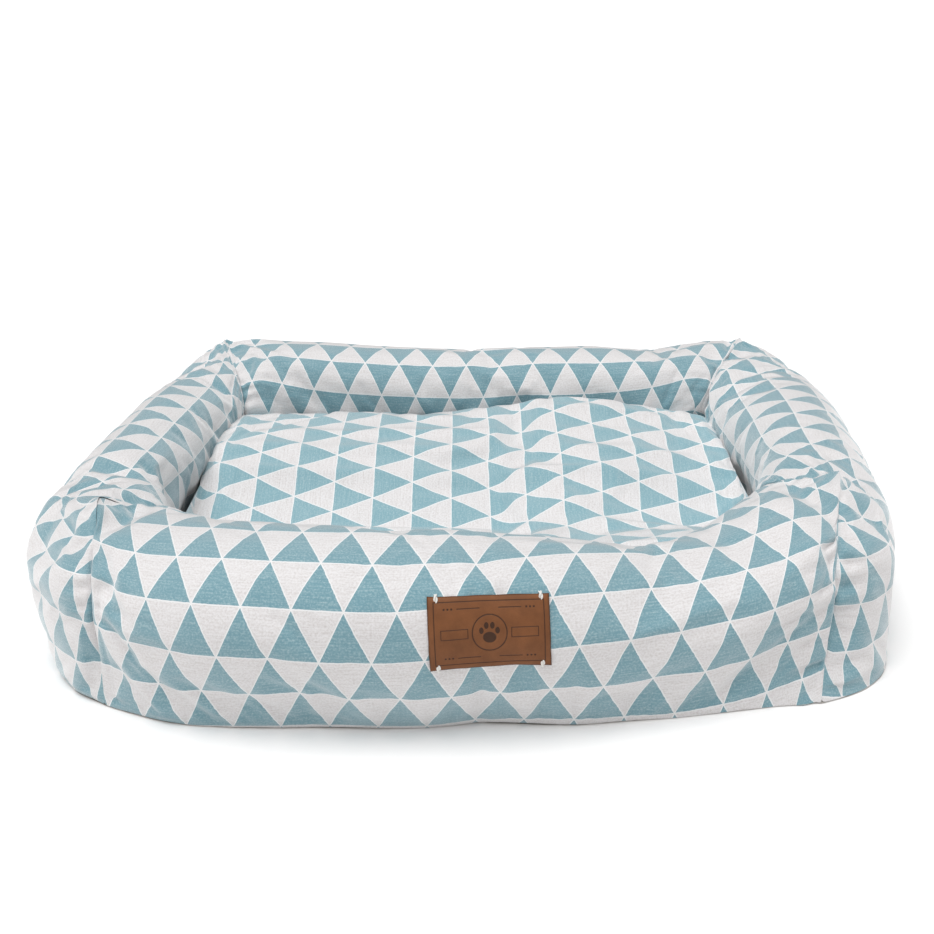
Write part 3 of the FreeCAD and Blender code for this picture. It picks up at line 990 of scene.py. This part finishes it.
def oval_shape(n, a, b, centre, half, soft=0.06):
    """1 inside an ellipse of the patch's plane, 0 outside."""
    da = n.math("DIVIDE", n.math("SUBTRACT", a, centre[0]), half[0])
    db = n.math("DIVIDE", n.math("SUBTRACT", b, centre[1]), half[1])
    far = n.math("SQRT", n.math("ADD", n.math("MULTIPLY", da, da), n.math("MULTIPLY", db, db)))
    return n.math("DIVIDE", n.math("SUBTRACT", 1 + soft, far), 2 * soft, clamp=True)


def engraving(n, a, b):
    """A plain border, a paw in a ring, two bars and some dots: 1 where the leather is burnt dark."""
    marks = []
    frame_out = box_shape(n, a, b, (0, 0), (38.5 * MM, 21.5 * MM))
    frame_in = box_shape(n, a, b, (0, 0), (37.9 * MM, 20.9 * MM))
    marks.append(n.math("SUBTRACT", frame_out, frame_in))
    ring_out = oval_shape(n, a, b, (0, 0), (12.5 * MM, 12.5 * MM), 0.02)
    ring_in = oval_shape(n, a, b, (0, 0), (11.7 * MM, 11.7 * MM), 0.02)
    marks.append(n.math("SUBTRACT", ring_out, ring_in))
    marks.append(oval_shape(n, a, b, (0, -3.0 * MM), (4.6 * MM, 3.7 * MM)))
    for x, y in ((-5.6, 1.6), (-2.1, 4.9), (2.1, 4.9), (5.6, 1.6)):
        marks.append(oval_shape(n, a, b, (x * MM, y * MM), (1.55 * MM, 2.2 * MM)))
    for side in (-1, 1):
        bar_out = box_shape(n, a, b, (side * 24.5 * MM, 0), (9.5 * MM, 3.4 * MM))
        bar_in = box_shape(n, a, b, (side * 24.5 * MM, 0), (9.0 * MM, 2.9 * MM))
        marks.append(n.math("SUBTRACT", bar_out, bar_in))
        for up in (-1, 1):
            marks.append(box_shape(n, a, b, (side * 14.5 * MM, up * 16.5 * MM), (8 * MM, 0.3 * MM)))
            for k in range(3):
                place = (side * (26 + 2.6 * k) * MM, up * 16.5 * MM)
                marks.append(oval_shape(n, a, b, place, (0.7 * MM, 0.7 * MM), 0.2))
    total = marks[0]
    for mark in marks[1:]:
        total = n.math("MAXIMUM", total, mark)
    return total


def label_leather():
    """Smooth brown leather with burnt marks and a dark cut edge."""
    n = Nodes("label_leather")
    a, b = n.cloth()
    plane = n.combine(n.math("MULTIPLY", a, 1000.0), n.math("MULTIPLY", b, 1000.0))
    clouds = n.noise(plane, 0.06, 4.0, 0.6)
    pores = n.noise(plane, 1.1, 3.0, 0.7)
    cells = n.add("ShaderNodeTexVoronoi", feature="DISTANCE_TO_EDGE")
    n.plug(plane, cells.inputs["Vector"])
    cells.inputs["Scale"].default_value = 0.75
    grain = n.math("MULTIPLY", cells.outputs["Distance"], 1.6, clamp=True)
    colour = n.mix(clouds, (0.105, 0.038, 0.014, 1), (0.33, 0.125, 0.045, 1))
    colour = n.mix(n.math("MULTIPLY", pores, 0.45), colour, (0.13, 0.055, 0.025, 1))
    da = n.math("SUBTRACT", PATCH_WIDTH / 2, n.math("ABSOLUTE", a))
    db = n.math("SUBTRACT", PATCH_HEIGHT / 2, n.math("ABSOLUTE", b))
    edge = n.math("SUBTRACT", 1.0, n.math("DIVIDE", n.math("MINIMUM", da, db), 1.3 * MM), clamp=True)
    colour = n.mix(n.math("MULTIPLY", edge, 0.75), colour, (0.05, 0.022, 0.012, 1))
    marks = engraving(n, a, b)
    colour = n.mix(n.math("MULTIPLY", marks, 0.85), colour, (0.035, 0.018, 0.012, 1))
    height = n.math("ADD", n.math("MULTIPLY", grain, 0.35), n.math("MULTIPLY", pores, 0.3))
    height = n.math("SUBTRACT", height, n.math("MULTIPLY", marks, 1.2))
    return n.finish(colour, 0.62, height, 0.18 * MM)


def thread():
    """Thick white thread."""
    n = Nodes("white_thread")
    place = n.add("ShaderNodeTexCoord")
    fibres = n.noise(place.outputs["Object"], 2200.0, 3.0, 0.6)
    colour = n.mix(fibres, (0.86, 0.85, 0.82, 1), (0.72, 0.70, 0.66, 1))
    return n.finish(colour, 0.85, fibres, 0.1 * MM, sheen=0.2)


def zip_tape():
    """Ribbed woven tape."""
    n = Nodes("zip_tape")
    place = n.add("ShaderNodeTexCoord")
    split = n.add("ShaderNodeSeparateXYZ")
    n.plug(place.outputs["Object"], split.inputs[0])
    ribs = n.math("SINE", n.math("MULTIPLY", split.outputs[2], 2 * math.pi / (1.1 * MM)))
    threads = n.math("SINE", n.math("MULTIPLY", split.outputs[0], 2 * math.pi / (0.7 * MM)))
    woven = n.math("MULTIPLY", n.math("ADD", ribs, threads), 0.25)
    colour = n.mix(n.math("ADD", woven, 0.5, clamp=True), (0.70, 0.68, 0.63, 1), (0.80, 0.78, 0.74, 1))
    return n.finish(colour, 0.9, woven, 0.15 * MM)


def nylon():
    """Slightly dusty white nylon."""
    n = Nodes("zip_coil")
    place = n.add("ShaderNodeTexCoord")
    dust = n.noise(place.outputs["Object"], 600.0)
    return n.finish(n.mix(dust, (0.84, 0.83, 0.79, 1), (0.76, 0.75, 0.71, 1)), 0.42)


def nickel():
    """Nickel plating with fine wear."""
    n = Nodes("zip_metal")
    place = n.add("ShaderNodeTexCoord")
    wear = n.noise(place.outputs["Object"], 900.0, 4.0, 0.65)
    rough = n.math("ADD", 0.2, n.math("MULTIPLY", wear, 0.25))
    colour = n.mix(wear, (0.56, 0.55, 0.53, 1), (0.70, 0.69, 0.67, 1))
    return n.finish(colour, rough, wear, 0.03 * MM, metal=1.0)


# ---------------------------------------------------------------- stage, light and camera

CAMERA_PLACE = (-8 * MM, -962 * MM, 513 * MM)
CAMERA_DOWN = 23.8
CAMERA_LENS = 43.17
SKY = 0.33
PAPER_GLOW = 0.06
TOP_LIGHT = 2.75
TOP_LIGHT_SPREAD = 52           # degrees, as the next two
TOP_FROM_FRONT = 4
TOP_FROM_LEFT = 10
PAPER_REACH = 60.0
PAPER_CURVE = 1.0


def build_stage():
    """A wide paper floor that curves up far behind the bed."""
    floor = bpy.data.meshes.new("floor")
    profile = [(-PAPER_REACH, 0.0), (PAPER_REACH, 0.0)]
    for k in range(1, 13):
        angle = math.radians(90 * k / 12)
        profile.append((PAPER_REACH + PAPER_CURVE * math.sin(angle), PAPER_CURVE * (1 - math.cos(angle))))
    profile.append((PAPER_REACH + PAPER_CURVE, 8.0))
    verts = []
    faces = []
    for y, z in profile:
        verts += [(-PAPER_REACH, y, z), (PAPER_REACH, y, z)]
    for k in range(len(profile) - 1):
        faces.append((2 * k, 2 * k + 1, 2 * k + 3, 2 * k + 2))
    floor.from_pydata(verts, [], faces)
    floor.polygons.foreach_set("use_smooth", [True] * len(faces))
    piece = placed("floor", floor)
    n = Nodes("paper")
    paper = n.finish((0.94, 0.93, 0.925, 1), 0.8)
    shader = next(node for node in n.tree.nodes if node.type == "BSDF_PRINCIPLED")
    shader.inputs["Emission Color"].default_value = (1, 1, 1, 1)
    shader.inputs["Emission Strength"].default_value = PAPER_GLOW
    piece.data.materials.append(paper)


def build_light():
    """An even white sky and a broad soft light from above."""
    world = bpy.data.worlds.new("studio")
    world.use_nodes = True
    world.node_tree.nodes["Background"].inputs[0].default_value = (1, 1, 1, 1)
    world.node_tree.nodes["Background"].inputs[1].default_value = SKY
    bpy.context.scene.world = world
    data = bpy.data.lights.new("soft_top", "SUN")
    data.energy = TOP_LIGHT
    data.angle = math.radians(TOP_LIGHT_SPREAD)
    lamp = placed("soft_top", data)
    lamp.rotation_euler = (math.radians(TOP_FROM_FRONT), math.radians(-TOP_FROM_LEFT), 0)
    lamp.location = (0, 0, 3)


def build_camera():
    """The photograph's view."""
    data = bpy.data.cameras.new("camera")
    data.lens = CAMERA_LENS
    data.sensor_width = 36
    camera = placed("camera", data)
    camera.location = CAMERA_PLACE
    camera.rotation_euler = (math.radians(90 - CAMERA_DOWN), 0, 0)
    bpy.context.scene.camera = camera
    bpy.context.scene.view_settings.view_transform = "Standard"


# ---------------------------------------------------------------- assembly

def dress(piece, material, body, nodes=()):
    """Gives a piece its material and body, and hides the CAD nodes it stands for."""
    if material.name not in [m.name for m in piece.data.materials if m]:
        piece.data.materials.clear()
        piece.data.materials.append(material)
    if "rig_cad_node" not in piece:
        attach(piece, body)
        if nodes:
            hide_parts(*nodes)


def refine(piece):
    """One smoothing subdivision, so that the print's edges stay straight over the folds."""
    modifier = piece.modifiers.new("refine", "SUBSURF")
    modifier.levels = 1
    modifier.render_levels = 1


canvas = printed_canvas("printed_canvas", TEAL)
# the cushion gets its own copy of the canvas, its ink painted paler as painted light for the brighter light
# on its top
cushion_canvas_painted_light = printed_canvas("printed_canvas_cushion_painted_light", CUSHION_TEAL_PAINTED_LIGHT)
under_cloth = plain_canvas("plain_canvas", (0.66, 0.63, 0.58, 1), (0.50, 0.47, 0.43, 1))
leather = label_leather()
white_thread = thread()

walls, grids = build_walls()
for side, piece in walls.items():
    dress(piece, canvas, "root", (side + "_wall_cover", side + "_wall_fill"))
    refine(piece)

feet_out = np.concatenate([grids[side][0][:-1, 0, :2] for side in SIDES])
feet_in = np.concatenate([grids[side][0][:-1, -1, :2] for side in SIDES])
underside = base_sheet("base_underside", feet_out, 0.6 * MM, 0.8 * MM, False)
dress(underside, under_cloth, "root", ("base_bottom_cover",))
lining = base_sheet("base_lining", feet_in, 13.0 * MM, 1.6 * MM, True)
dress(lining, canvas, "root", ("base_top_lining", "base_pad"))

surface = wall_surface(grids["front"][0], grids["front"][3])
patch = patch_mesh(surface)
dress(patch, leather, "root", ("leather_label",))
stitches = patch_stitches(surface)
dress(stitches, white_thread, "root", ("label_stitches",))

cushion_top = cushion_panel("cushion_top", True)
dress(cushion_top, cushion_canvas_painted_light, "cushion",
      ("cushion_top_panel", "cushion_inner_case", "cushion_fibre_fill"))
cushion_bottom = cushion_panel("cushion_bottom", False)
dress(cushion_bottom, cushion_canvas_painted_light, "cushion", ("cushion_bottom_panel",))
refine(cushion_top)
refine(cushion_bottom)

tape_cloth = zip_tape()
coil_nylon = nylon()
metal = nickel()
for name in ("zip_tape_upper", "zip_tape_lower"):
    dress(frame["nodes"][name], tape_cloth, "cushion")
for name, mate in (("zip_coil_upper", "zip_coil_lower"), ("zip_coil_lower", "zip_coil_upper")):
    dress(coil_turns(name + "_turns", name, mate), coil_nylon, "cushion", (name,))
for name in ("zip_end_stops", "zip_slider", "zip_pull"):
    dress(frame["nodes"][name], metal, "")

build_stage()
build_light()
build_camera()
